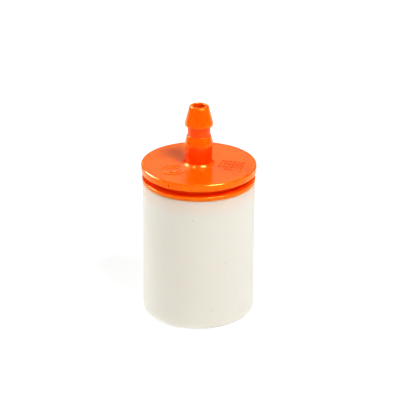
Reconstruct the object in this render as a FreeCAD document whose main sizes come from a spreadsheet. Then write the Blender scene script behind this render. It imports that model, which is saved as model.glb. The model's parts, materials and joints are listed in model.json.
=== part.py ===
import FreeCAD, Part
import Sketcher
import os
from types import SimpleNamespace

# In-tank fuel filter for a small engine: a porous white cup closed by an orange cap whose barbed
# spigot takes the fuel hose. Inside hang a moulded cage, its mesh sleeve and a steel sinker.
# Millimetres. Z is the common axis of every piece, and z = 0 is the bottom face of the cup.

DIMENSIONS = [
    # the porous cup
    ("cup_radius", 10.0, "outside radius of the porous cup"),
    ("cup_height", 25.2, "bottom face to top rim"),
    ("cup_wall", 2.6, "side wall thickness"),
    ("cup_floor", 3.0, "floor thickness"),
    ("cup_bottom_round", 0.95, "rounding of the outer bottom edge"),
    ("cup_inner_round", 1.2, "rounding between bore and floor"),
    ("ejector_radius", 4.0, "ejector pin witness in the bottom face"),
    ("ejector_depth", 0.15, "depth of that witness"),
    # the cap's head, from the cup's rim upward
    ("flange_radius", 10.06, "lower flange that sits on the rim"),
    ("flange_thickness", 0.6, "thickness of the lower flange"),
    ("groove_gap", 1.1, "open height of the ring groove"),
    ("groove_radius", 8.4, "root radius of the ring groove"),
    ("disc_radius", 10.22, "upper disc"),
    ("disc_thickness", 1.3, "thickness of the upper disc at its edge"),
    ("disc_top_round", 0.22, "rounding of the disc's top edge"),
    ("head_edge_round", 0.12, "rounding of the other head edges"),
    # the cap's plug, pressed into the cup
    ("plug_length", 5.5, "plug length below the rim"),
    ("plug_wall", 1.2, "plug wall thickness"),
    ("plug_lead", 0.5, "lead-in chamfer of the plug"),
    ("plug_ceiling", 1.5, "height of the core's ceiling above the rim"),
    ("barb_bite", 0.25, "how far a plug barb bites into the cup wall"),
    ("barb_rise", 1.0, "height of a plug barb"),
    ("barb_first", 1.2, "first plug barb below the rim"),
    ("barb_pitch", 1.7, "spacing of the plug barbs"),
    # the hose spigot, heights from the top of the disc
    ("stem_radius", 2.35, "plain stem"),
    ("stem_round", 0.5, "fillet at the stem's foot"),
    ("hose_barb_radius", 2.5, "both hose barbs, for 3/16 in fuel hose"),
    ("hose_barb_land", 0.4, "cylindrical land of each barb"),
    ("lower_barb_start", 3.55, "underside of the lower barb"),
    ("lower_cone_radius", 2.13, "top of the lower barb's cone"),
    ("neck_start", 5.35, "foot of the neck"),
    ("neck_radius", 2.02, "neck between the barbs"),
    ("upper_barb_start", 7.2, "underside of the upper barb"),
    ("tip_radius", 1.68, "top of the upper barb's cone"),
    ("tip_round", 0.4, "rounding of the tip"),
    ("spigot_length", 10.8, "disc to tip"),
    ("outlet_radius", 1.1, "fuel outlet bore"),
    ("outlet_chamfer", 0.12, "chamfer at the outlet's mouth"),
    # plain moulded marks on the cap
    ("mark_height", 0.08, "how far the marks stand proud"),
    ("ring_radius", 2.1, "outside of the outer witness ring"),
    ("ring_inner_radius", 1.2, "outside of the inner witness ring"),
    ("ring_line", 0.18, "line width of the witness rings"),
    ("ring_x", -4.5, "centre of the witness rings"),
    ("ring_y", -3.5, "centre of the witness rings"),
    ("bar_length", 0.5, "one raised bar"),
    ("bar_width", 0.28, "one raised bar"),
    ("bar_step", 0.75, "spacing of the bars along a row"),
    ("bar_row_step", 1.15, "spacing of the rows"),
    ("bars_x", 3.35, "corner of the block of bars"),
    ("bars_y", -1.4, "corner of the block of bars"),
    ("bars_turn", -17.0, "direction of the rows, in degrees"),
    ("nub_radius", 0.28, "moulding nub near the disc's edge"),
    ("nub_height", 0.2, "how far the nub stands proud"),
    ("nub_x", 7.4, "centre of the nub"),
    ("nub_y", -3.95, "centre of the nub"),
    ("pip_radius", 0.3, "one pip on the disc's rim"),
    ("pip_azimuth", 239.0, "direction of the first pip, in degrees"),
    ("pip_span", 23.0, "angle from the first pip to the last"),
    ("pip_count", 3, "pips on the rim"),
    # the strainer cage, heights from its own bottom
    ("cage_lift", 0.2, "gap between the cage and the cup's floor"),
    ("cage_foot_radius", 6.5, "bottom flange of the cage"),
    ("cage_foot", 0.8, "thickness of the bottom flange"),
    ("seat_radius", 5.75, "seat for the mesh sleeve at both ends"),
    ("upper_seat", 1.0, "height of the upper mesh seat"),
    ("pocket_floor", 0.9, "floor under the sinker"),
    ("pocket_lip", 0.5, "height of the lip over the sinker"),
    ("lip_overlap", 0.25, "how far the lip reaches over the sinker"),
    ("rib_inner", 4.7, "inside of a rib"),
    ("rib_outer", 5.65, "outside of a rib"),
    ("rib_width", 1.0, "width of a rib"),
    ("rib_count", 6, "number of ribs"),
    ("hoop_height", 0.8, "height of the middle hoop"),
    ("hoop_start", 9.6, "foot of the middle hoop"),
    ("shoulder_radius", 6.9, "shoulder under the plug"),
    ("shoulder_height", 0.8, "height of the shoulder"),
    ("collar_height", 6.0, "collar inside the plug"),
    ("collar_bore", 5.0, "bore of the collar"),
    # the mesh sleeve and the sinker
    ("mesh_thickness", 0.15, "wall of the woven mesh sleeve"),
    ("sinker_radius", 4.5, "steel sinker"),
    ("sinker_height", 4.0, "steel sinker"),
    ("sinker_chamfer", 0.35, "chamfer of the sinker"),
]


class Size:
    """A size that carries its value and the spreadsheet expression that gives it."""

    def __init__(self, value, expression):
        self.value = value
        self.expression = expression

    def __add__(self, other):
        return Size(self.value + other.value, f"{self.expression} + {other.expression}")

    def __sub__(self, other):
        return Size(self.value - other.value, f"{self.expression} - ({other.expression})")

    def __neg__(self):
        return Size(-self.value, f"-({self.expression})")

    def __mul__(self, factor):
        return Size(self.value * factor, f"({self.expression}) * {factor}")


ZERO = Size(0.0, "0")


def dimension_sheet(doc):
    """Puts the driving dimensions in a spreadsheet and returns them as sizes."""
    sheet = doc.addObject("Spreadsheet::Sheet", "dimensions")
    sizes = {}
    for row, (alias, value, meaning) in enumerate(DIMENSIONS, start=1):
        sheet.set(f"A{row}", alias)
        sheet.set(f"B{row}", str(value))
        sheet.set(f"C{row}", meaning)
        sheet.setAlias(f"B{row}", alias)
        sizes[alias] = Size(value, f"dimensions.{alias}")
    doc.recompute()
    return SimpleNamespace(**sizes)


# ---- helpers for bodies, sketches and features ----


def new_body(doc, name, height=ZERO):
    """A body named after its piece, standing at the given height."""
    body = doc.addObject("PartDesign::Body", name)
    body.Label = name
    body.setExpression(".Placement.Base.z", height.expression)
    return body


def origin_feature(body, role):
    return next(f for f in body.Origin.OriginFeatures if f.Role == role)


def new_sketch(body, name, plane="XY_Plane", height=ZERO):
    sketch = body.newObject("Sketcher::SketchObject", name)
    sketch.AttachmentSupport = [(origin_feature(body, plane), "")]
    sketch.MapMode = "FlatFace"
    sketch.setExpression(".AttachmentOffset.Base.z", height.expression)
    return sketch


def pin_point(sketch, geometry, point, across, up):
    """Fixes one point of a sketch at two sizes from the sketch's origin."""
    for kind, axis, size in (("DistanceX", -2, across), ("DistanceY", -1, up)):
        if size.value == 0:
            sketch.addConstraint(Sketcher.Constraint("PointOnObject", geometry, point, axis))
            continue
        index = sketch.addConstraint(
            Sketcher.Constraint(kind, -1, 1, geometry, point, size.value)
        )
        sketch.setExpression(f"Constraints[{index}]", size.expression)


def draw_outline(sketch, corners):
    """A closed outline of straight lines whose corners are pairs of sizes."""
    points = [FreeCAD.Vector(a.value, b.value, 0) for a, b in corners]
    first = sketch.GeometryCount
    count = len(points)
    for i in range(count):
        sketch.addGeometry(Part.LineSegment(points[i], points[(i + 1) % count]))
    for i in range(count):
        following = first + (i + 1) % count
        sketch.addConstraint(Sketcher.Constraint("Coincident", first + i, 2, following, 1))
    for i, (across, up) in enumerate(corners):
        pin_point(sketch, first + i, 1, across, up)


def draw_circle(sketch, radius, across=ZERO, up=ZERO):
    centre = FreeCAD.Vector(across.value, up.value, 0)
    circle = sketch.addGeometry(Part.Circle(centre, FreeCAD.Vector(0, 0, 1), radius.value))
    pin_point(sketch, circle, 3, across, up)
    index = sketch.addConstraint(Sketcher.Constraint("Radius", circle, radius.value))
    sketch.setExpression(f"Constraints[{index}]", radius.expression)


def revolve(body, name, corners):
    """Revolves a half section, given as (radius, height) corners, about the body's axis."""
    sketch = new_sketch(body, name + "_section", "XZ_Plane")
    draw_outline(sketch, corners)
    feature = body.newObject("PartDesign::Revolution", name)
    feature.Profile = sketch
    feature.ReferenceAxis = (sketch, ["V_Axis"])
    feature.Angle = 360
    body.Document.recompute()
    return feature


def pad(body, name, sketch, length):
    feature = body.newObject("PartDesign::Pad", name)
    feature.Profile = sketch
    feature.setExpression("Length", length.expression)
    body.Document.recompute()
    return feature


def pocket(body, name, sketch, depth, upward=False):
    """Cuts a sketch into the body, down from its plane or upward from it."""
    before = body.Shape.Volume
    feature = body.newObject("PartDesign::Pocket", name)
    feature.Profile = sketch
    feature.Reversed = upward
    feature.setExpression("Length", depth.expression)
    body.Document.recompute()
    if feature.Shape.Volume >= before:
        raise RuntimeError(f"{name} cuts nothing")
    return feature


def circle_edges(feature, radius, height):
    """Names of the feature's circular edges of that radius at that height."""
    names = []
    for number, edge in enumerate(feature.Shape.Edges, start=1):
        curve = edge.Curve
        if not isinstance(curve, Part.Circle):
            continue
        at_radius = abs(curve.Radius - radius.value) < 1e-4
        if at_radius and abs(curve.Center.z - height.value) < 1e-4:
            names.append(f"Edge{number}")
    if not names:
        raise RuntimeError(f"no edge of radius {radius.value} at {height.value}")
    return names


def dress(body, kind, name, size, rings):
    """A fillet or chamfer of the body's circular edges, each a (radius, height) pair."""
    base = body.Tip
    names = [edge for radius, height in rings for edge in circle_edges(base, radius, height)]
    feature = body.newObject("PartDesign::" + kind, name)
    feature.Base = (base, names)
    feature.setExpression("Radius" if kind == "Fillet" else "Size", size.expression)
    body.Document.recompute()
    return feature


def polar_pattern(body, name, original, count, angle):
    """Repeats a feature about the body's axis; angle spans the first copy to the last."""
    feature = body.newObject("PartDesign::PolarPattern", name)
    feature.Originals = [original]
    feature.Axis = (origin_feature(body, "Z_Axis"), [""])
    feature.setExpression("Occurrences", count.expression)
    if angle is None:
        feature.Angle = 360
    else:
        feature.setExpression("Angle", angle.expression)
    body.Tip = feature
    body.Document.recompute()
    return feature


# ---- the pieces ----


def plug_barbs(dim, radius):
    """Corners of the two plug barbs below the rim, on a wall of that radius."""
    corners = []
    for step in (0, 1):
        top = -(dim.barb_first + dim.barb_pitch * step)
        corners += [
            (radius, top),
            (radius + dim.barb_bite, top),
            (radius, top - dim.barb_rise),
        ]
    return corners


def filter_cup(doc, dim):
    """The porous cup: round wall, closed floor, and seats that the plug's barbs press into."""
    body = new_body(doc, "filter_cup")
    bore = dim.cup_radius - dim.cup_wall
    seats = [(r, dim.cup_height + z) for r, z in plug_barbs(dim, bore)]
    outline = [
        (ZERO, ZERO),
        (dim.cup_radius, ZERO),
        (dim.cup_radius, dim.cup_height),
        (bore, dim.cup_height),
        *seats,
        (bore, dim.cup_floor),
        (ZERO, dim.cup_floor),
    ]
    revolve(body, "cup_shell", outline)
    dress(body, "Fillet", "bottom_round", dim.cup_bottom_round, [(dim.cup_radius, ZERO)])
    dress(body, "Fillet", "floor_round", dim.cup_inner_round, [(bore, dim.cup_floor)])
    witness = new_sketch(body, "ejector_outline")
    draw_circle(witness, dim.ejector_radius)
    pocket(body, "ejector_witness", witness, dim.ejector_depth, upward=True)
    return body


def spigot_cap(doc, dim):
    """The cap: disc, ring groove, flange, hollow plug and barbed spigot in one moulding."""
    body = new_body(doc, "spigot_cap", dim.cup_height)
    plug_radius = dim.cup_radius - dim.cup_wall
    core_radius = plug_radius - dim.plug_wall
    flange_top = dim.flange_thickness
    disc_bottom = flange_top + dim.groove_gap
    disc_top = disc_bottom + dim.disc_thickness
    plug_end = -dim.plug_length
    revolve(
        body,
        "head_and_plug",
        [
            (ZERO, disc_top),
            (dim.disc_radius, disc_top),
            (dim.disc_radius, disc_bottom),
            (dim.groove_radius, disc_bottom),
            (dim.groove_radius, flange_top),
            (dim.flange_radius, flange_top),
            (dim.flange_radius, ZERO),
            (plug_radius, ZERO),
            *plug_barbs(dim, plug_radius),
            (plug_radius, plug_end + dim.plug_lead),
            (plug_radius - dim.plug_lead, plug_end),
            (core_radius, plug_end),
            (core_radius, dim.plug_ceiling),
            (ZERO, dim.plug_ceiling),
        ],
    )
    tip = disc_top + dim.spigot_length
    hose_spigot(body, dim, disc_top, tip)
    mouth = new_sketch(body, "outlet_outline", height=tip)
    draw_circle(mouth, dim.outlet_radius)
    pocket(body, "fuel_outlet", mouth, tip - dim.plug_ceiling)
    dress(body, "Fillet", "stem_foot", dim.stem_round, [(dim.stem_radius, disc_top)])
    dress(body, "Fillet", "tip_rounding", dim.tip_round, [(dim.tip_radius, tip)])
    dress(body, "Chamfer", "outlet_mouth", dim.outlet_chamfer, [(dim.outlet_radius, tip)])
    dress(body, "Fillet", "disc_edge", dim.disc_top_round, [(dim.disc_radius, disc_top)])
    dress(
        body,
        "Fillet",
        "head_edges",
        dim.head_edge_round,
        [
            (dim.disc_radius, disc_bottom),
            (dim.flange_radius, flange_top),
            (dim.flange_radius, ZERO),
        ],
    )
    witness_rings(body, dim, disc_top)
    bar_rows(body, dim, "upper_bars", disc_top, rows=(0, 1, 2), first=0, count=6)
    bar_rows(body, dim, "lower_bars", disc_top, rows=(-1,), first=2, count=2)
    moulding_nub(body, dim, disc_top)
    rim_pips(body, dim, disc_bottom)
    return body


def hose_spigot(body, dim, foot, tip):
    """The stem with its two barbs, both of the hose's size."""
    lower = foot + dim.lower_barb_start
    neck = foot + dim.neck_start
    upper = foot + dim.upper_barb_start
    return revolve(
        body,
        "hose_spigot",
        [
            (ZERO, foot),
            (dim.stem_radius, foot),
            (dim.stem_radius, lower),
            (dim.hose_barb_radius, lower),
            (dim.hose_barb_radius, lower + dim.hose_barb_land),
            (dim.lower_cone_radius, neck),
            (dim.neck_radius, neck),
            (dim.neck_radius, upper),
            (dim.hose_barb_radius, upper),
            (dim.hose_barb_radius, upper + dim.hose_barb_land),
            (dim.tip_radius, tip),
            (ZERO, tip),
        ],
    )


def witness_rings(body, dim, height):
    """Two plain concentric rings on the disc, as ejector sleeves leave them."""
    sketch = new_sketch(body, "ring_outlines", height=height)
    for outside in (dim.ring_radius, dim.ring_inner_radius):
        draw_circle(sketch, outside, dim.ring_x, dim.ring_y)
        draw_circle(sketch, outside - dim.ring_line, dim.ring_x, dim.ring_y)
    return pad(body, "witness_rings", sketch, dim.mark_height)


def bar_rows(body, dim, name, height, rows, first, count):
    """Rows of short plain bars on the disc, starting at the first bar's column."""
    sketch = new_sketch(body, name + "_outline", height=height)
    sketch.setExpression(".AttachmentOffset.Base.x", dim.bars_x.expression)
    sketch.setExpression(".AttachmentOffset.Base.y", dim.bars_y.expression)
    sketch.setExpression(".AttachmentOffset.Rotation.Angle", dim.bars_turn.expression)
    near = dim.bar_step * first
    far = near + dim.bar_length
    for row in rows:
        foot = dim.bar_row_step * row
        head = foot + dim.bar_width
        draw_outline(sketch, [(near, foot), (far, foot), (far, head), (near, head)])
    column = pad(body, name + "_column", sketch, dim.mark_height)
    pattern = body.newObject("PartDesign::LinearPattern", name)
    pattern.Originals = [column]
    pattern.Direction = (sketch, ["H_Axis"])
    pattern.Occurrences = count
    pattern.setExpression("Length", (dim.bar_step * (count - 1)).expression)
    body.Tip = pattern
    body.Document.recompute()
    return pattern


def moulding_nub(body, dim, height):
    """A small round nub near the edge of the disc."""
    sketch = new_sketch(body, "nub_outline", height=height)
    draw_circle(sketch, dim.nub_radius, dim.nub_x, dim.nub_y)
    return pad(body, "moulding_nub", sketch, dim.nub_height)


def rim_pips(body, dim, disc_bottom):
    """Small round pips on the rim of the disc."""
    pip = body.newObject("PartDesign::AdditiveCylinder", "rim_pip")
    middle = disc_bottom + dim.disc_thickness * 0.5
    inner = dim.disc_radius - dim.pip_radius
    turn = FreeCAD.Rotation(FreeCAD.Vector(0, 0, 1), dim.pip_azimuth.value)
    lay = FreeCAD.Rotation(FreeCAD.Vector(0, 1, 0), 90)
    start = turn.multVec(FreeCAD.Vector(inner.value, 0, middle.value))
    pip.Placement = FreeCAD.Placement(start, turn * lay)
    pip.setExpression("Radius", dim.pip_radius.expression)
    pip.setExpression("Height", (dim.pip_radius + dim.mark_height).expression)
    body.Document.recompute()
    return polar_pattern(body, "rim_pips", pip, dim.pip_count, dim.pip_span)


def cage_heights(dim):
    """Heights in the cage that its neighbours share, from the cage's own bottom."""
    pocket_top = dim.pocket_floor + dim.sinker_height
    base_top = pocket_top + dim.pocket_lip
    plug_end = dim.cup_height - dim.plug_length
    shoulder_top = plug_end - (dim.cup_floor + dim.cage_lift)
    shoulder = shoulder_top - dim.shoulder_height
    return pocket_top, base_top, shoulder, shoulder_top


def strainer_cage(doc, dim):
    """The cage: sinker pocket, ribs, hoop, and a collar pressed up into the plug."""
    body = new_body(doc, "strainer_cage", dim.cup_floor + dim.cage_lift)
    pocket_top, base_top, shoulder, shoulder_top = cage_heights(dim)
    lip_radius = dim.sinker_radius - dim.lip_overlap
    revolve(
        body,
        "sinker_pocket",
        [
            (ZERO, ZERO),
            (dim.cage_foot_radius, ZERO),
            (dim.cage_foot_radius, dim.cage_foot),
            (dim.seat_radius, dim.cage_foot),
            (dim.seat_radius, base_top),
            (lip_radius, base_top),
            (lip_radius, pocket_top),
            (dim.sinker_radius, pocket_top),
            (dim.sinker_radius, dim.pocket_floor),
            (ZERO, dim.pocket_floor),
        ],
    )
    foot = new_sketch(body, "rib_outline", height=base_top)
    half_width = dim.rib_width * 0.5
    draw_outline(
        foot,
        [
            (dim.rib_inner, -half_width),
            (dim.rib_outer, -half_width),
            (dim.rib_outer, half_width),
            (dim.rib_inner, half_width),
        ],
    )
    rib = pad(body, "rib", foot, shoulder - base_top)
    polar_pattern(body, "ribs", rib, dim.rib_count, None)
    hoop_top = dim.hoop_start + dim.hoop_height
    revolve(
        body,
        "middle_hoop",
        [
            (dim.rib_inner, dim.hoop_start),
            (dim.rib_outer, dim.hoop_start),
            (dim.rib_outer, hoop_top),
            (dim.rib_inner, hoop_top),
        ],
    )
    collar_radius = dim.cup_radius - dim.cup_wall - dim.plug_wall
    collar_top = shoulder_top + dim.collar_height
    revolve(
        body,
        "collar",
        [
            (dim.collar_bore, shoulder - dim.upper_seat),
            (dim.seat_radius, shoulder - dim.upper_seat),
            (dim.seat_radius, shoulder),
            (dim.shoulder_radius, shoulder),
            (dim.shoulder_radius, shoulder_top),
            (collar_radius, shoulder_top),
            (collar_radius, collar_top),
            (dim.collar_bore, collar_top),
        ],
    )
    return body


def strainer_mesh(doc, dim):
    """The woven mesh sleeve round the cage, from its bottom flange to its shoulder."""
    foot = dim.cup_floor + dim.cage_lift + dim.cage_foot
    body = new_body(doc, "strainer_mesh", foot)
    shoulder = cage_heights(dim)[2]
    sketch = new_sketch(body, "sleeve_outline")
    draw_circle(sketch, dim.seat_radius + dim.mesh_thickness)
    draw_circle(sketch, dim.seat_radius)
    pad(body, "sleeve", sketch, shoulder - dim.cage_foot)
    return body


def sinker_weight(doc, dim):
    """The steel slug that keeps the filter at the lowest point of the tank."""
    body = new_body(doc, "sinker_weight", dim.cup_floor + dim.cage_lift + dim.pocket_floor)
    sketch = new_sketch(body, "slug_outline")
    draw_circle(sketch, dim.sinker_radius)
    pad(body, "slug", sketch, dim.sinker_height)
    rings = [(dim.sinker_radius, ZERO), (dim.sinker_radius, dim.sinker_height)]
    dress(body, "Chamfer", "slug_edges", dim.sinker_chamfer, rings)
    return body


# ---- checks and export ----


def check(doc, bodies):
    """Stops if any object failed or any piece is not one valid solid."""
    for thing in doc.Objects:
        if {"Invalid", "Error"} & set(thing.State):
            raise RuntimeError(f"{thing.Name} failed: {thing.State}")
    for body in bodies:
        shape = body.Shape
        if shape.isNull() or not shape.isValid() or len(shape.Solids) != 1:
            raise RuntimeError(f"{body.Label} is not one valid solid")
        box = shape.optimalBoundingBox()
        print(
            f"{body.Label}: {shape.Volume:.1f} mm3, {box.XLength:.2f} x {box.YLength:.2f},"
            f" z {box.ZMin:.2f} to {box.ZMax:.2f}"
        )
    for i, one in enumerate(bodies):
        for other in bodies[i + 1 :]:
            shared = one.Shape.common(other.Shape).Volume
            if shared > 1e-3:
                raise RuntimeError(f"{one.Label} and {other.Label} share {shared:.4f} mm3")


def main():
    doc = FreeCAD.newDocument("fuel_filter")
    dim = dimension_sheet(doc)
    makers = (filter_cup, spigot_cap, strainer_cage, strainer_mesh, sinker_weight)
    bodies = [make(doc, dim) for make in makers]
    doc.recompute()
    check(doc, bodies)
    os.makedirs("parts", exist_ok=True)
    for body in bodies:
        body.Shape.exportStep(f"parts/{body.Label}.step")


main()
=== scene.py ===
import json
import math

import bmesh
import bpy
from mathutils import Matrix, Vector, noise


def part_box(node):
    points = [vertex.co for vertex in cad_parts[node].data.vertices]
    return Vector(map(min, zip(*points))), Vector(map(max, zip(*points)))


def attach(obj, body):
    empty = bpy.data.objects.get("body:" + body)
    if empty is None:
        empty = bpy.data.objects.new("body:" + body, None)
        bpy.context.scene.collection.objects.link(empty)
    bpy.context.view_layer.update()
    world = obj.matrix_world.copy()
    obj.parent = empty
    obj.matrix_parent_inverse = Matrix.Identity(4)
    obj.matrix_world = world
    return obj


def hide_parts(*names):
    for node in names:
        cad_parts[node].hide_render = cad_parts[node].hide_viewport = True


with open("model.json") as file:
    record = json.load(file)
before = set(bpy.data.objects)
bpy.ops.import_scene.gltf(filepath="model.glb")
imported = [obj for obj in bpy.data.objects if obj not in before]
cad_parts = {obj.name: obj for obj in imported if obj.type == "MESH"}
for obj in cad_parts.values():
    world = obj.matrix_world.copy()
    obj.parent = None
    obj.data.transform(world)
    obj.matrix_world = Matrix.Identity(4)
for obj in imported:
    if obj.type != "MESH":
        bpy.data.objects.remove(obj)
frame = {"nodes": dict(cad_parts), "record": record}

# The looks of an in-tank fuel filter: a glossy orange cap with a barbed spigot, pressed into a
# porous white cup, with a cage, a woven sleeve and a steel sinker sealed inside.
# Every piece shares the Z axis. Outlines are in millimetres, and meshes are in metres.
# Azimuths run round Z from the front (-Y) towards +X.

MM = 0.001
TURN = 2 * math.pi
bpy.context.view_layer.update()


def span(node):
    """Lowest and highest corner of a CAD node, in millimetres."""
    low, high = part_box(node)
    return low / MM, high / MM


def mount_radius(name):
    """The stated radius of one of the record's round mounts, in millimetres."""
    return next(m["dims"]["r_mm"] for m in frame["record"]["mounts"] if m["name"] == name)


# ---- sizes, in millimetres ----

CUP_RADIUS = span("filter_cup")[1].x
RIM = span("filter_cup")[1].z
PLUG_END = span("spigot_cap")[0].z
DISC_RADIUS = span("spigot_cap")[1].x
TIP = span("spigot_cap")[1].z
BARB_RADIUS = mount_radius("hose_barb")
OUTLET_RADIUS = mount_radius("fuel_outlet")

CUP_WALL = 2.6
CUP_FLOOR = 3.0
CUP_BOTTOM_ROUND = 0.95
CUP_INNER_ROUND = 1.2
EJECTOR_RADIUS = 4.0
EJECTOR_DEPTH = 0.15

FLANGE_RADIUS = 10.06
FLANGE_TOP = RIM + 0.6
DISC_BOTTOM = FLANGE_TOP + 1.1
DISC_TOP = DISC_BOTTOM + 1.3
GROOVE_RADIUS = 8.4
PLUG_RADIUS = CUP_RADIUS - CUP_WALL
CORE_RADIUS = PLUG_RADIUS - 1.2
PLUG_CEILING = RIM + 1.5
PLUG_LEAD = 0.5
PLUG_BARB_BITE = 0.25
PLUG_BARB_RISE = 1.0
PLUG_BARB_TOPS = (RIM - 1.2, RIM - 2.9)

STEM_RADIUS = 2.35
NECK_RADIUS = 2.02
LOWER_CONE_RADIUS = 2.13
TIP_RADIUS = 1.68
LOWER_BARB = DISC_TOP + 3.55
NECK_FOOT = DISC_TOP + 5.35
UPPER_BARB = DISC_TOP + 7.2
BARB_LAND = 0.4

SEAMS = (math.radians(-19), math.radians(161))
SEAM_HEIGHT = 0.035
SEAM_WIDTH = 0.07
SEAM_FADE = 0.3
DISC_SEAM = 0.25
MARK_HEIGHT = 0.1
MARK_SINK = 0.12
RING_CENTRE = Vector((-4.5, -3.5))
RING_RADII = (2.1, 1.2)
RING_LINE = 0.18
BARS_CORNER = Vector((3.35, -1.4))
BARS_TURN = math.radians(-17)
BAR_SIZE = Vector((0.5, 0.28))
BAR_STEP = Vector((0.75, 1.15))
NUB_CENTRE = Vector((7.4, -3.95))
NUB_RADIUS = 0.28
NUB_HEIGHT = 0.2
NUB_SINK = 0.02
# Azimuth in degrees, outer radius, inner radius and height of each mark on the disc's rim.
PIPS = ((-29.5, 0.48, 0.24, 0.2), (-18.5, 0.32, 0, 0.18), (-8.0, 0.3, 0, 0.08))

CAP_SINK = 0.012
CAP_SINK_SIZE = 3.5
CUP_UNEVENNESS = 0.02
CUP_UNEVENNESS_SIZE = 2.5

ARC_STEP = 0.06
LONGEST_SPAN = 0.4
LATHE_STEPS = 240
SHARP_ANGLE = math.radians(38)

# ---- the studio, in metres ----

LAMP_DISTANCE = 0.7
FLOOR_RADIUS = 0.45
# Points of the display's contrast curve, from a tone to the tone shown.
TONE_CURVE = ((0.06, 0.03), (0.15, 0.1), (0.35, 0.31), (0.75, 0.75))


# ---- outlines ----


def rounded(corners, step=ARC_STEP):
    """A closed outline from (radius, height, rounding) corners, with the roundings as arcs."""
    outline = []
    for i, (radius, height, rounding) in enumerate(corners):
        corner = Vector((radius, height))
        if not rounding:
            outline.append(corner)
            continue
        before = (Vector(corners[i - 1][:2]) - corner).normalized()
        after = (Vector(corners[(i + 1) % len(corners)][:2]) - corner).normalized()
        half = before.angle(after) / 2
        reach = rounding / math.tan(half)
        centre = corner + (before + after).normalized() * (rounding / math.sin(half))
        start = (corner + before * reach - centre).normalized()
        end = (corner + after * reach - centre).normalized()
        steps = max(3, math.ceil(rounding * (math.pi - 2 * half) / step))
        outline += [centre + start.slerp(end, k / steps) * rounding for k in range(steps + 1)]
    return outline


def divided(outline, longest):
    """The same closed outline with no span longer than the given length."""
    points = []
    for i, point in enumerate(outline):
        following = outline[(i + 1) % len(outline)]
        pieces = max(1, math.ceil((following - point).length / longest))
        points += [point.lerp(following, k / pieces) for k in range(pieces)]
    return points


def outward(outline, i):
    """The outline's normal at a point, for an outline whose solid lies on the right."""
    along = (outline[(i + 1) % len(outline)] - outline[i - 1]).normalized()
    return Vector((-along.y, along.x))


def plug_barbs(radius):
    """Corners of the two retaining barbs on a wall of that radius, from the top down."""
    corners = []
    for top in PLUG_BARB_TOPS:
        corners += [
            (radius, top, 0),
            (radius + PLUG_BARB_BITE, top, 0.04),
            (radius, top - PLUG_BARB_RISE, 0),
        ]
    return corners


def cap_outline():
    """The cap from the outlet's mouth over the spigot, the head and the plug to the bore."""
    corners = [
        (OUTLET_RADIUS, TIP, 0.12),
        (TIP_RADIUS, TIP, 0.4),
        (BARB_RADIUS, UPPER_BARB + BARB_LAND, 0.3),
        (BARB_RADIUS, UPPER_BARB, 0.07),
        (NECK_RADIUS, UPPER_BARB, 0.12),
        (NECK_RADIUS, NECK_FOOT, 0.05),
        (LOWER_CONE_RADIUS, NECK_FOOT, 0.05),
        (BARB_RADIUS, LOWER_BARB + BARB_LAND, 0.3),
        (BARB_RADIUS, LOWER_BARB, 0.03),
        (STEM_RADIUS, LOWER_BARB, 0),
        (STEM_RADIUS, DISC_TOP, 0.7),
        (DISC_RADIUS, DISC_TOP, 0.28),
        (DISC_RADIUS, DISC_BOTTOM, 0.12),
        (GROOVE_RADIUS, DISC_BOTTOM, 0.2),
        (GROOVE_RADIUS, FLANGE_TOP, 0.2),
        (FLANGE_RADIUS, FLANGE_TOP, 0.12),
        (FLANGE_RADIUS, RIM, 0.03),
        (PLUG_RADIUS, RIM, 0),
        *plug_barbs(PLUG_RADIUS),
        (PLUG_RADIUS, PLUG_END + PLUG_LEAD, 0.2),
        (PLUG_RADIUS - PLUG_LEAD, PLUG_END, 0.15),
        (CORE_RADIUS, PLUG_END, 0.1),
        (CORE_RADIUS, PLUG_CEILING, 0.3),
        (OUTLET_RADIUS, PLUG_CEILING, 0.15),
    ]
    return divided(rounded(corners), LONGEST_SPAN)


def cup_outline():
    """The cup from its bottom's centre up the outside, over the rim and down the bore."""
    bore = PLUG_RADIUS
    corners = [
        (0, EJECTOR_DEPTH, 0),
        (EJECTOR_RADIUS, EJECTOR_DEPTH, 0.05),
        (EJECTOR_RADIUS, 0, 0.05),
        (CUP_RADIUS, 0, CUP_BOTTOM_ROUND),
        (CUP_RADIUS, RIM, 0.04),
        (bore, RIM, 0.1),
        *plug_barbs(bore),
        (bore, CUP_FLOOR, CUP_INNER_ROUND),
        (0, CUP_FLOOR, 0),
    ]
    return divided(rounded(corners), LONGEST_SPAN)


# ---- meshes ----


def azimuths(count, seams=()):
    """Azimuths round the axis, closer together at each seam."""
    reach = math.radians(3.5)
    plain = [TURN * i / count for i in range(count)]
    for seam in seams:
        plain = [a for a in plain if abs((a - seam + math.pi) % TURN - math.pi) > reach]
    steps = (0, 0.15, 0.3, 0.5, 0.8, 1.2, 1.8, 2.6)
    offsets = sorted({math.radians(sign * step) for step in steps for sign in (-1, 1)})
    fine = [(seam + offset) % TURN for seam in seams for offset in offsets]
    return sorted(plain + fine)


def on_axis(radius, azimuth, height):
    """A point in metres from its radius, azimuth and height in millimetres."""
    return Vector((radius * math.sin(azimuth), -radius * math.cos(azimuth), height)) * MM


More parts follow.
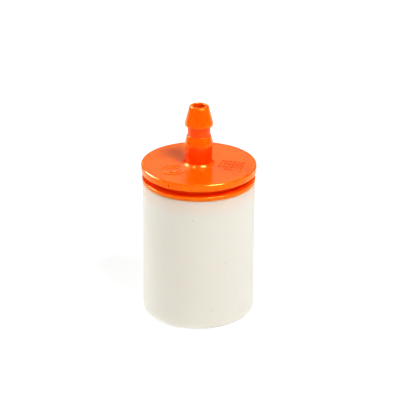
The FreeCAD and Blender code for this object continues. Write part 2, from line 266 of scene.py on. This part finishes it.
def lathe(outline, angles, relief=None):
    """A mesh spun from a closed outline; relief pushes each point along its normal."""
    bm = bmesh.new()
    rings = []
    for i, point in enumerate(outline):
        if point.x < 1e-6:
            rings.append([bm.verts.new(on_axis(0, 0, point.y))])
            continue
        normal = outward(outline, i)
        ring = []
        for angle in angles:
            moved = point + normal * relief(point, angle) if relief else point
            ring.append(bm.verts.new(on_axis(moved.x, angle, moved.y)))
        rings.append(ring)
    for one, other in zip(rings, rings[1:] + rings[:1]):
        if len(one) == 1 and len(other) == 1:
            continue
        for j in range(len(angles)):
            k = (j + 1) % len(angles)
            corners = [one[j % len(one)], one[k % len(one)]]
            corners += [other[k % len(other)], other[j % len(other)]]
            bm.faces.new(dict.fromkeys(corners))
    bmesh.ops.recalc_face_normals(bm, faces=bm.faces)
    return bm


def mesh_object(name, bm):
    """A smooth-shaded object made from a bmesh, which is freed."""
    mesh = bpy.data.meshes.new(name)
    bm.to_mesh(mesh)
    bm.free()
    mesh.shade_smooth()
    piece = bpy.data.objects.new(name, mesh)
    bpy.context.scene.collection.objects.link(piece)
    return piece


def join(bm, part):
    """Adds a second bmesh to the first, and frees the second."""
    mesh = bpy.data.meshes.new("scratch")
    part.to_mesh(mesh)
    part.free()
    bm.from_mesh(mesh)
    bpy.data.meshes.remove(mesh)


def union(piece, addition):
    """Unites the addition with the piece and removes the addition."""
    modifier = piece.modifiers.new("union", "BOOLEAN")
    modifier.operation = "UNION"
    modifier.solver = "EXACT"
    modifier.object = addition
    bpy.context.view_layer.update()
    evaluated = piece.evaluated_get(bpy.context.evaluated_depsgraph_get())
    mesh = bpy.data.meshes.new_from_object(evaluated)
    piece.modifiers.clear()
    piece.data = mesh
    mesh.shade_smooth()
    mesh.set_sharp_from_angle(angle=SHARP_ANGLE)
    bpy.data.objects.remove(addition)


def crisp(piece):
    """Normals weighted by face area, so that wide flats stay flat beside small roundings."""
    modifier = piece.modifiers.new("weighted normals", "WEIGHTED_NORMAL")
    modifier.weight = 80
    modifier.keep_sharp = True


# ---- the cap ----


def seam_ridge(point, azimuth):
    """Height of the parting line, a fine ridge up the spigot that fades out on the disc."""
    across = min(abs((azimuth - seam + math.pi) % TURN - math.pi) for seam in SEAMS) * point.x
    below_tip = min(1.0, max(0.0, (TIP - 0.1 - point.y) / SEAM_FADE))
    off_disc = 1.0 if point.x < STEM_RADIUS + 0.8 else DISC_SEAM
    return SEAM_HEIGHT * below_tip * off_disc * math.exp(-((across / SEAM_WIDTH) ** 2))


def cap_relief(point, azimuth):
    """Parting line and the slight sink of a moulded surface, on the outside of the head."""
    if point.y < RIM + 0.05 or point.x < OUTLET_RADIUS + 0.2:
        return 0.0
    place = Vector((point.x * math.sin(azimuth), -point.x * math.cos(azimuth), point.y))
    sink = CAP_SINK * (0.5 + 0.5 * noise.noise(place / CAP_SINK_SIZE))
    return seam_ridge(point, azimuth) - sink


def raised_round(outer, inner, height, place):
    """A plain ring, or a disc where inner is 0, sunk into the surface that it stands on."""
    rounding = min(0.1, (outer - inner) / 3)
    corners = [
        (inner, -MARK_SINK, 0),
        (inner, height, rounding if inner else 0),
        (outer, height, rounding),
        (outer, -MARK_SINK, 0),
    ]
    bm = lathe(rounded(corners, 0.03), azimuths(96 if outer > 1 else 32))
    bm.transform(place)
    return bm


def raised_bar(column, row):
    """One bar of the rows on the disc, with its top edges rounded."""
    rounding = 0.05
    bm = bmesh.new()
    bmesh.ops.create_cube(bm, size=1)
    size = Vector((*BAR_SIZE, MARK_HEIGHT + MARK_SINK)) * MM
    bmesh.ops.scale(bm, vec=size, verts=bm.verts)
    top = [e for e in bm.edges if any(v.co.z > 0 for v in e.verts)]
    bmesh.ops.bevel(bm, geom=top, offset=rounding * MM, segments=3, affect="EDGES", profile=0.5)
    along = BARS_CORNER + Matrix.Rotation(BARS_TURN, 2) @ Vector(
        (BAR_STEP.x * column + BAR_SIZE.x / 2, BAR_STEP.y * row + BAR_SIZE.y / 2)
    )
    middle = DISC_TOP + (MARK_HEIGHT - MARK_SINK) / 2
    turn = Matrix.Rotation(BARS_TURN, 4, "Z")
    bm.transform(Matrix.Translation(Vector((*along, middle)) * MM) @ turn)
    return bm


def dome(radius, height, place):
    """A low round mark standing on the local XY plane, moved to its place."""
    bm = bmesh.new()
    bmesh.ops.create_uvsphere(bm, u_segments=24, v_segments=16, radius=MM)
    bmesh.ops.scale(bm, vec=Vector((radius, radius, height)), verts=bm.verts)
    bm.transform(place)
    return bm


def rim_place(azimuth):
    """Turns the local +Z axis outwards at the middle of the disc's rim."""
    angle = math.radians(azimuth)
    foot = on_axis(DISC_RADIUS, angle, (DISC_BOTTOM + DISC_TOP) / 2)
    turn = Matrix.Rotation(angle, 4, "Z") @ Matrix.Rotation(math.radians(90), 4, "X")
    return Matrix.Translation(foot) @ turn


def cap_marks():
    """Every plain raised mark of the cap, in one mesh."""
    bm = bmesh.new()
    rings = Matrix.Translation(Vector((*RING_CENTRE, DISC_TOP)) * MM)
    for radius in RING_RADII:
        join(bm, raised_round(radius, radius - RING_LINE, MARK_HEIGHT, rings))
    for row in (0, 1, 2):
        for column in range(6):
            join(bm, raised_bar(column, row))
    for column in (2, 3):
        join(bm, raised_bar(column, -1))
    nub = Matrix.Translation(Vector((*NUB_CENTRE, DISC_TOP - NUB_SINK)) * MM)
    join(bm, dome(NUB_RADIUS, NUB_HEIGHT, nub))
    for azimuth, outer, inner, height in PIPS:
        join(bm, raised_round(outer, inner, height, rim_place(azimuth)))
    return mesh_object("cap_marks", bm)


def make_cap():
    cap = mesh_object("moulded_cap", lathe(cap_outline(), azimuths(LATHE_STEPS, SEAMS), cap_relief))
    union(cap, cap_marks())
    crisp(cap)
    return cap


# ---- the cup and the inner pieces ----


def cup_relief(point, azimuth):
    """The slight unevenness of the sintered wall, only inwards."""
    if point.x < CUP_RADIUS - 0.5 or point.y > RIM - 0.2:
        return 0.0
    place = Vector((point.x * math.sin(azimuth), -point.x * math.cos(azimuth), point.y))
    return -CUP_UNEVENNESS * (0.5 + 0.5 * noise.noise(place / CUP_UNEVENNESS_SIZE))


def make_cup():
    cup = mesh_object("porous_cup", lathe(cup_outline(), azimuths(LATHE_STEPS), cup_relief))
    crisp(cup)
    return cup


def wire(bm, path, closed, radius):
    """A thin round wire along a path of points in metres."""
    sides = 5
    rings = []
    count = len(path)
    for i, point in enumerate(path):
        before = path[i - 1] if closed or i else point
        after = path[(i + 1) % count] if closed or i < count - 1 else point
        along = (after - before).normalized()
        out = Vector((point.x, point.y, 0)).normalized()
        side = along.cross(out).normalized()
        ring = []
        for k in range(sides):
            angle = TURN * k / sides
            spoke = out * math.cos(angle) + side * math.sin(angle)
            ring.append(bm.verts.new(point + spoke * radius))
        rings.append(ring)
    pairs = zip(rings, rings[1:] + rings[:1] if closed else rings[1:])
    for one, other in pairs:
        for k in range(sides):
            bm.faces.new((one[k], one[k - 1], other[k - 1], other[k]))
    if not closed:
        bm.faces.new(rings[0])
        bm.faces.new(reversed(rings[-1]))


def make_sleeve():
    """A plain weave of fine wires in the space of the mesh sleeve."""
    low, high = span("strainer_mesh")
    cage_seat = 5.75
    wire_radius = (high.x - cage_seat) / 4
    middle = high.x - 2 * wire_radius
    uprights = 96
    hoops = 38
    bottom = low.z + wire_radius
    rise = (high.z - low.z - 2 * wire_radius) / (hoops - 1)
    bm = bmesh.new()
    for i in range(uprights):
        angle = TURN * i / uprights
        path = []
        for k in range(2 * hoops - 1):
            weave = wire_radius * math.cos(math.pi * k / 2) * (-1) ** i
            path.append(on_axis(middle + weave, angle, bottom + rise * k / 2))
        wire(bm, path, False, wire_radius * MM)
    for j in range(hoops):
        path = []
        for k in range(2 * uprights):
            weave = -wire_radius * math.cos(math.pi * k / 2) * (-1) ** j
            path.append(on_axis(middle + weave, TURN * k / (2 * uprights), bottom + rise * j))
        wire(bm, path, True, wire_radius * MM)
    bmesh.ops.recalc_face_normals(bm, faces=bm.faces)
    return mesh_object("woven_sleeve", bm)


# ---- materials ----


class Shader:
    """A material with short ways to add nodes and to set and link their sockets."""

    def __init__(self, name, **constants):
        self.material = bpy.data.materials.new(name)
        self.material.use_nodes = True
        self.tree = self.material.node_tree
        self.surface = self.tree.nodes["Principled BSDF"]
        for socket, value in constants.items():
            self.surface.inputs[socket.replace("_", " ")].default_value = value
        self.place = self.node("ShaderNodeTexCoord").outputs["Object"]

    def node(self, kind, **inputs):
        made = self.tree.nodes.new(kind)
        for socket, value in inputs.items():
            self.feed(made.inputs[socket.replace("_", " ")], value)
        return made

    def feed(self, socket, value):
        if isinstance(value, bpy.types.NodeSocket):
            self.tree.links.new(value, socket)
        else:
            socket.default_value = value

    def noise(self, size, detail=2.0, roughness=0.5):
        """Noise whose features are about size millimetres across."""
        made = self.node("ShaderNodeTexNoise", Vector=self.place, Scale=1 / (size * MM))
        made.inputs["Detail"].default_value = detail
        made.inputs["Roughness"].default_value = roughness
        return made.outputs["Fac"]

    def ranged(self, value, low, high, start=0.35, end=0.65):
        """Maps a value's start to end onto low to high, clamped."""
        made = self.node("ShaderNodeMapRange", Value=value)
        made.inputs["From Min"].default_value = start
        made.inputs["From Max"].default_value = end
        made.inputs["To Min"].default_value = low
        made.inputs["To Max"].default_value = high
        return made.outputs["Result"]

    def specks(self, apart, radius):
        """1 in sparse round specks of that radius, about that far apart in the solid."""
        cells = self.node("ShaderNodeTexVoronoi", Vector=self.place, Scale=1 / (apart * MM))
        reach = radius / apart
        return self.ranged(cells.outputs["Distance"], 1.0, 0.0, reach * 0.6, reach)

    def math(self, operation, one, other):
        made = self.node("ShaderNodeMath")
        made.operation = operation
        self.feed(made.inputs[0], one)
        self.feed(made.inputs[1], other)
        return made.outputs["Value"]

    def height(self):
        """Height above the floor, in millimetres."""
        metres = self.node("ShaderNodeSeparateXYZ", Vector=self.place).outputs["Z"]
        return self.math("DIVIDE", metres, MM)

    def radius(self):
        """Distance from the axis, in millimetres."""
        flat = self.node("ShaderNodeVectorMath")
        flat.operation = "MULTIPLY"
        self.feed(flat.inputs[0], self.place)
        self.feed(flat.inputs[1], (1 / MM, 1 / MM, 0))
        length = self.node("ShaderNodeVectorMath")
        length.operation = "LENGTH"
        self.feed(length.inputs[0], flat.outputs["Vector"])
        return length.outputs["Value"]

    def between(self, value, low, high, soft):
        """1 from low to high and 0 outside, with soft edges of that width."""
        rise = self.ranged(value, 0.0, 1.0, low - soft / 2, low + soft / 2)
        fall = self.ranged(value, 1.0, 0.0, high - soft / 2, high + soft / 2)
        return self.math("MULTIPLY", rise, fall)

    def mixed(self, factor, one, other):
        """A colour between two others."""
        made = self.tree.nodes.new("ShaderNodeMix")
        made.data_type = "RGBA"
        self.feed(made.inputs["Factor"], factor)
        self.feed(made.inputs["A"], one)
        self.feed(made.inputs["B"], other)
        colours = [s for s in made.outputs if s.type == "RGBA"]
        return colours[0]

    def bumps(self, *layers):
        """Stacks (height, depth in millimetres, strength) layers of bump on the surface."""
        normal = None
        for height, depth, strength in layers:
            reach = depth * MM
            bump = self.node("ShaderNodeBump", Height=height, Strength=strength, Distance=reach)
            if normal:
                self.tree.links.new(normal, bump.inputs["Normal"])
            normal = bump.outputs["Normal"]
        self.tree.links.new(normal, self.surface.inputs["Normal"])

    def drive(self, socket, value):
        self.feed(self.surface.inputs[socket], value)


def orange_plastic():
    """Glossy orange nylon, with painted light (light scattered through the thin plastic) at the
    disc's edge and painted shade on the spigot's stem and neck walls.
    """
    shader = Shader(
        "orange_nylon",
        IOR=1.62,
        Subsurface_Weight=0.5,
        Subsurface_Radius=(1.0, 0.1, 0.03),
        Subsurface_Scale=0.5 * MM,
        Specular_Tint=(1.0, 0.75, 0.25, 1.0),
    )
    orange = (0.99, 0.168, 0.0, 1)
    shaded_orange = (0.98, 0.156, 0.0, 1)
    edge_painted_light_orange = (1.0, 0.178, 0.0, 1)
    painted_shade_orange = (0.9, 0.068, 0.0, 1)
    flow = shader.ranged(shader.noise(5.0, 3.0), 0.0, 1.0)
    colour = shader.mixed(flow, orange, shaded_orange)
    # Painted light: the outer 0.4 mm of the disc is mixed to a lighter orange, standing in for
    # light scattered through the thin edge.
    edge = shader.ranged(shader.radius(), 0.0, 1.0, DISC_RADIUS - 0.4, DISC_RADIUS)
    colour = shader.mixed(edge, colour, edge_painted_light_orange)
    height = shader.height()
    # Painted shade: the stem and neck walls inside the barbs' radius are mixed towards a deeper
    # orange, standing in for their shading.
    stem = shader.between(height, DISC_TOP + 0.5, LOWER_BARB, 0.3)
    neck = shader.between(height, NECK_FOOT, UPPER_BARB - 0.1, 0.3)
    tube = shader.ranged(shader.radius(), 1.0, 0.0, BARB_RADIUS, BARB_RADIUS + 0.3)
    stem = shader.math("MULTIPLY", stem, 0.7)
    neck = shader.math("MULTIPLY", neck, 0.8)
    painted_shade = shader.math("MULTIPLY", shader.math("ADD", stem, neck), tube)
    shader.drive("Base Color", shader.mixed(painted_shade, colour, painted_shade_orange))
    shader.drive("Roughness", shader.ranged(shader.noise(1.2, 4.0), 0.12, 0.18))
    shader.bumps((shader.noise(1.6, 2.0), 0.01, 0.5), (shader.noise(0.12, 2.0), 0.002, 0.25))
    return shader.material


def porous_plastic():
    """Off-white sintered plastic with sparse specks, with painted orange light just under the cap,
    standing in for light from the orange cap bouncing onto and shining through the wall.
    """
    shader = Shader(
        "sintered_polyethylene",
        IOR=1.5,
        Specular_IOR_Level=0.2,
        Subsurface_Weight=1.0,
        Subsurface_Radius=(1.0, 0.9, 0.75),
        Subsurface_Scale=3.0 * MM,
    )
    white = (0.70, 0.674, 0.605, 1)
    mottled_white = (0.695, 0.667, 0.597, 1)
    pore_grey = (0.65, 0.624, 0.555, 1)
    speck_brown = (0.42, 0.3, 0.22, 1)
    painted_bounce_orange = (0.9, 0.45, 0.3, 1)
    painted_fringe_orange = (1.0, 0.3, 0.06, 1)
    mottle = shader.ranged(shader.noise(1.5, 4.0, 0.6), 0.0, 1.0)
    colour = shader.mixed(mottle, white, mottled_white)
    grain = shader.ranged(shader.noise(0.16, 2.0, 0.6), 0.0, 0.5)
    colour = shader.mixed(grain, colour, pore_grey)
    colour = shader.mixed(shader.specks(2.4, 0.1), colour, speck_brown)
    # Painted light: the top 3.2 mm of the wall is mixed towards orange, standing in for light from
    # the cap's flange and plug.
    painted_bounce = shader.ranged(shader.height(), 0.0, 0.35, RIM - 3.2, RIM)
    colour = shader.mixed(painted_bounce, colour, painted_bounce_orange)
    # Painted light: the last few tenths of a millimetre under the rim turn strongly orange,
    # covering the contact shade under the flange with orange bounce light.
    painted_fringe = shader.ranged(shader.height(), 0.0, 0.85, RIM - 0.35, RIM - 0.1)
    shader.drive("Base Color", shader.mixed(painted_fringe, colour, painted_fringe_orange))
    shader.drive("Roughness", shader.ranged(shader.noise(0.5, 3.0), 0.6, 0.8))
    shader.bumps((shader.noise(0.14, 3.0, 0.6), 0.012, 0.6))
    return shader.material


def natural_nylon():
    """Undyed, slightly yellow moulding plastic."""
    shader = Shader(
        "natural_nylon",
        IOR=1.53,
        Subsurface_Weight=0.4,
        Subsurface_Radius=(1.0, 0.8, 0.5),
        Subsurface_Scale=0.8 * MM,
    )
    tone = shader.ranged(shader.noise(3.0, 3.0), 0.0, 1.0)
    colour = shader.mixed(tone, (0.72, 0.67, 0.54, 1), (0.66, 0.61, 0.48, 1))
    shader.drive("Base Color", colour)
    shader.drive("Roughness", shader.ranged(shader.noise(0.8, 3.0), 0.3, 0.45))
    shader.bumps((shader.noise(0.3, 3.0), 0.004, 0.5))
    return shader.material


def monofilament():
    """The clear nylon wire of the woven sleeve."""
    shader = Shader("nylon_monofilament", IOR=1.53, Transmission_Weight=0.2)
    tone = shader.ranged(shader.noise(2.0, 2.0), 0.0, 1.0)
    colour = shader.mixed(tone, (0.82, 0.82, 0.78, 1), (0.74, 0.74, 0.69, 1))
    shader.drive("Base Color", colour)
    shader.drive("Roughness", shader.ranged(shader.noise(0.3, 2.0), 0.25, 0.4))
    return shader.material


def plated_steel():
    """Zinc-plated steel with fine turning marks."""
    shader = Shader("zinc_plated_steel", Metallic=1.0)
    cloud = shader.ranged(shader.noise(1.5, 4.0, 0.6), 0.0, 1.0)
    colour = shader.mixed(cloud, (0.62, 0.63, 0.62, 1), (0.5, 0.51, 0.5, 1))
    shader.drive("Base Color", colour)
    shader.drive("Roughness", shader.ranged(shader.noise(0.4, 3.0), 0.25, 0.42))
    turned = shader.node("ShaderNodeTexNoise", Scale=30.0, Vector=shader.height())
    shader.bumps((turned.outputs["Fac"], 0.004, 0.4))
    return shader.material


def pale_floor():
    """A matt pale surface that glows a little, like a light table."""
    shader = Shader(
        "pale_floor",
        Roughness=0.8,
        Emission_Color=(1, 1, 1, 1),
        Emission_Strength=0.65,
    )
    shader.drive("Base Color", (0.42, 0.42, 0.418, 1))
    return shader.material


# ---- the stage ----


def make_floor():
    """A pale disc, small enough to be evenly lit up to its edge."""
    bm = bmesh.new()
    bmesh.ops.create_circle(bm, cap_ends=True, radius=FLOOR_RADIUS, segments=128)
    floor = mesh_object("floor", bm)
    floor.data.materials.append(pale_floor())


def make_world(brightness):
    """An even white backdrop, which lights the filter with the given brightness."""
    world = bpy.data.worlds.new("studio")
    world.use_nodes = True
    tree = world.node_tree
    path = tree.nodes.new("ShaderNodeLightPath")
    level = tree.nodes.new("ShaderNodeMapRange")
    level.inputs["To Min"].default_value = brightness
    level.inputs["To Max"].default_value = 1.0
    tree.links.new(path.outputs["Is Camera Ray"], level.inputs["Value"])
    tree.links.new(level.outputs["Result"], tree.nodes["Background"].inputs["Strength"])
    tree.nodes["Background"].inputs["Color"].default_value = (1, 1, 1, 1)
    bpy.context.scene.world = world


def softbox(name, azimuth, elevation, size, power, seen_in=("diffuse", "glossy")):
    """An area light facing the cap, of the given width and height; angles are in degrees."""
    data = bpy.data.lights.new(name, "AREA")
    data.shape = "RECTANGLE"
    data.size, data.size_y = size
    data.energy = power
    light = bpy.data.objects.new(name, data)
    light.visible_camera = False
    light.visible_diffuse = "diffuse" in seen_in
    light.visible_glossy = "glossy" in seen_in
    bpy.context.scene.collection.objects.link(light)
    up = math.radians(elevation)
    way = on_axis(math.cos(up), math.radians(azimuth), math.sin(up)).normalized()
    light.location = Vector((0, 0, (RIM + TIP) / 2 * MM)) + way * LAMP_DISTANCE
    light.rotation_euler = way.to_track_quat("Z", "Y").to_euler()


def make_camera():
    """Looks along +Y from 24 degrees above the horizon, at the middle of the filter."""
    elevation = math.radians(23.95)
    distance = 314.5 * MM
    aim = Vector((0, 0, 19.53 * MM))
    back = Vector((0, -math.cos(elevation), math.sin(elevation)))
    data = bpy.data.cameras.new("camera")
    data.sensor_width = 36
    data.lens = 152.76
    data.shift_x = 0.0214
    data.clip_start = 0.01
    camera = bpy.data.objects.new("camera", data)
    bpy.context.scene.collection.objects.link(camera)
    camera.location = aim + back * distance
    roll = Matrix.Rotation(math.radians(0.3), 3, "Z")
    camera.rotation_euler = (back.to_track_quat("Z", "Y").to_matrix() @ roll).to_euler()
    bpy.context.scene.camera = camera


def develop():
    """Plain display colours with a gentle contrast curve, which deepens the shadows."""
    settings = bpy.context.scene.view_settings
    settings.view_transform = "Standard"
    settings.use_curve_mapping = True
    curve = settings.curve_mapping.curves[3]
    for tone, shown in TONE_CURVE:
        curve.points.new(tone, shown)
    settings.curve_mapping.update()


# ---- putting it together ----


def finish_piece(piece, node, material):
    """A piece that stands for a CAD node, with its material and slot."""
    piece.data.materials.clear()
    piece.data.materials.append(material)
    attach(piece, "root")
    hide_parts(node)


def repaint(node, material):
    """Gives a CAD node that stays its detailed material."""
    for slot in frame["nodes"][node].material_slots:
        slot.material = material


make_camera()
finish_piece(make_cap(), "spigot_cap", orange_plastic())
finish_piece(make_cup(), "filter_cup", porous_plastic())
finish_piece(make_sleeve(), "strainer_mesh", monofilament())
repaint("strainer_cage", natural_nylon())
repaint("sinker_weight", plated_steel())
make_floor()
make_world(brightness=0.12)
# The glints only show in reflections, and the low panels never do.
softbox("key", azimuth=42, elevation=54, size=(0.26, 0.14), power=4.3)
softbox("key glint", azimuth=42, elevation=50, size=(0.34, 0.2), power=11.5, seen_in=("glossy",))
softbox("fill", azimuth=-112, elevation=36, size=(0.26, 0.14), power=2.1)
softbox("fill glint", azimuth=-122, elevation=33, size=(0.34, 0.2), power=9.0, seen_in=("glossy",))
softbox("top", azimuth=160, elevation=75, size=(0.4, 0.4), power=0.4)
softbox("left", azimuth=-60, elevation=3, size=(0.6, 0.2), power=1.6, seen_in=("diffuse",))
softbox("right", azimuth=75, elevation=3, size=(0.6, 0.2), power=0.7, seen_in=("diffuse",))
softbox("back", azimuth=180, elevation=35, size=(0.5, 0.4), power=0.4)
softbox("low back", azimuth=180, elevation=6, size=(0.6, 0.12), power=0.9, seen_in=("diffuse",))
develop()
